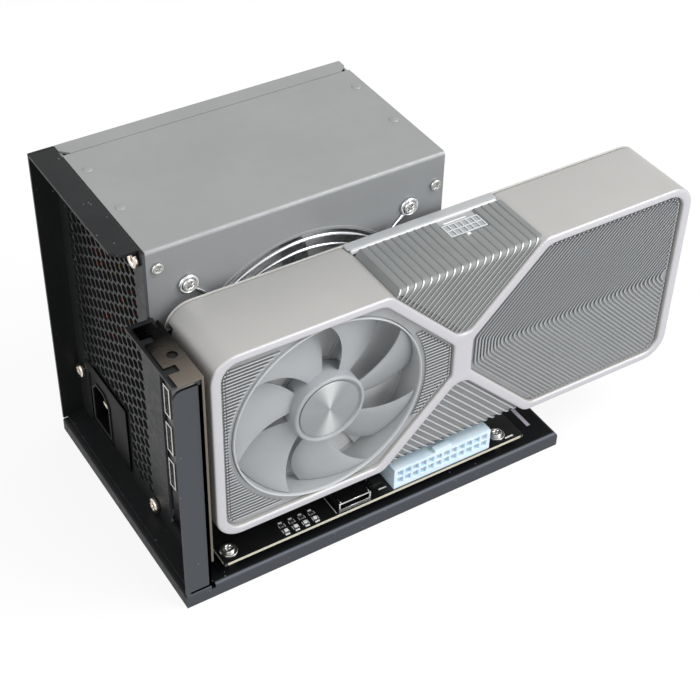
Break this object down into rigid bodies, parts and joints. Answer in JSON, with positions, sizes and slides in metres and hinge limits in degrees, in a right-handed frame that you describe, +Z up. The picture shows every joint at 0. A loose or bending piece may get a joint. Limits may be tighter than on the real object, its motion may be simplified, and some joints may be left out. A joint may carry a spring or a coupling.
{
  "type": "external graphics card enclosure",
  "caption": "Open desktop dock: folded black tray and wall carry a power supply, a dock board and a two-lobed graphics card with fans that turn.",
  "frame": {"origin": "middle of the footprint, on the surface that the tray's rim stands on", "axes": "+X along the card away from the wall, +Y from the card to the power supply, +Z up"},
  "size_m": [0.2586, 0.1306, 0.158],
  "materials": {
    "chassis_steel": "fine black powder coat",
    "supply_steel": "satin grey paint",
    "screw_steel": "nickel-plated",
    "guard_steel": "bright wire",
    "fan_plastic": "moulded, satin",
    "card_fan_plastic": "moulded, satin grey",
    "inlet_plastic": "moulded, black",
    "pin_metal": "nickel-plated brass",
    "outlet_rubber": "soft black",
    "board_laminate": "black solder mask",
    "supply_laminate": "plain laminate",
    "slot_plastic": "moulded, black",
    "header_plastic": "natural nylon",
    "port_steel": "tinned",
    "lamp_plastic": "clear epoxy",
    "chip_plastic": "moulded epoxy",
    "card_alloy": "fine blasted",
    "fin_alloy": "dark anodised",
    "bracket_steel": "nickel-plated",
    "backplate_alloy": "dark anodised",
    "coil_copper": "enamelled winding",
    "capacitor_sleeve": "shrunk sleeve",
    "sink_alloy": "mill finish",
    "core_ferrite": "ferrite and tape"
  },
  "bodies": {
    "enclosure": {"base_tray": "chassis_steel", "rear_wall": "chassis_steel", "supply_mount_screws": "screw_steel", "supply_case": "supply_steel", "supply_cover": "supply_steel", "supply_fan_frame": "fan_plastic", "supply_fan_guard": "guard_steel", "mains_inlet": "inlet_plastic", "mains_pins": "pin_metal", "cable_grommet": "outlet_rubber", "supply_spacers": "screw_steel", "supply_board": "supply_laminate", "supply_transformer": "core_ferrite", "supply_coils": "coil_copper", "supply_capacitors": "capacitor_sleeve", "supply_heatsinks": "sink_alloy", "board_standoffs": "screw_steel", "dock_board": "board_laminate", "board_screws": "screw_steel", "card_slot": "slot_plastic", "power_header": "header_plastic", "data_port": "port_steel", "data_port_tongue": "slot_plastic", "status_lamps": "lamp_plastic", "resistors": "lamp_plastic", "control_chips": "chip_plastic", "card_frame": "card_alloy", "front_fan_mount": "card_fan_plastic", "rear_fan_mount": "card_fan_plastic", "side_fins": "fin_alloy", "chevron_fins": "fin_alloy", "notch_fins": "fin_alloy", "lower_fins": "fin_alloy", "card_board": "board_laminate", "graphics_processor": "chip_plastic", "card_backplate": "backplate_alloy", "card_bracket": "bracket_steel", "video_sockets": "port_steel", "power_socket": "slot_plastic"},
    "supply_rotor": {"supply_fan_rotor": "fan_plastic"},
    "front_rotor": {"front_fan_rotor": "card_fan_plastic"},
    "rear_rotor": {"rear_fan_rotor": "card_fan_plastic"}
  },
  "joints": [
    {"name": "supply_rotor_spin", "type": "hinge", "parent": "enclosure", "child": "supply_rotor", "pos_m": [-0.04725, -0.00875, 0.084], "axis": [0, -1, 0], "continuous": true},
    {"name": "front_rotor_spin", "type": "hinge", "parent": "enclosure", "child": "front_rotor", "pos_m": [-0.05825, -0.055, 0.082], "axis": [0, -1, 0], "continuous": true},
    {"name": "rear_rotor_spin", "type": "hinge", "parent": "enclosure", "child": "rear_rotor", "pos_m": [0.07425, -0.033, 0.082], "axis": [0, -1, 0], "continuous": true}
  ]
}
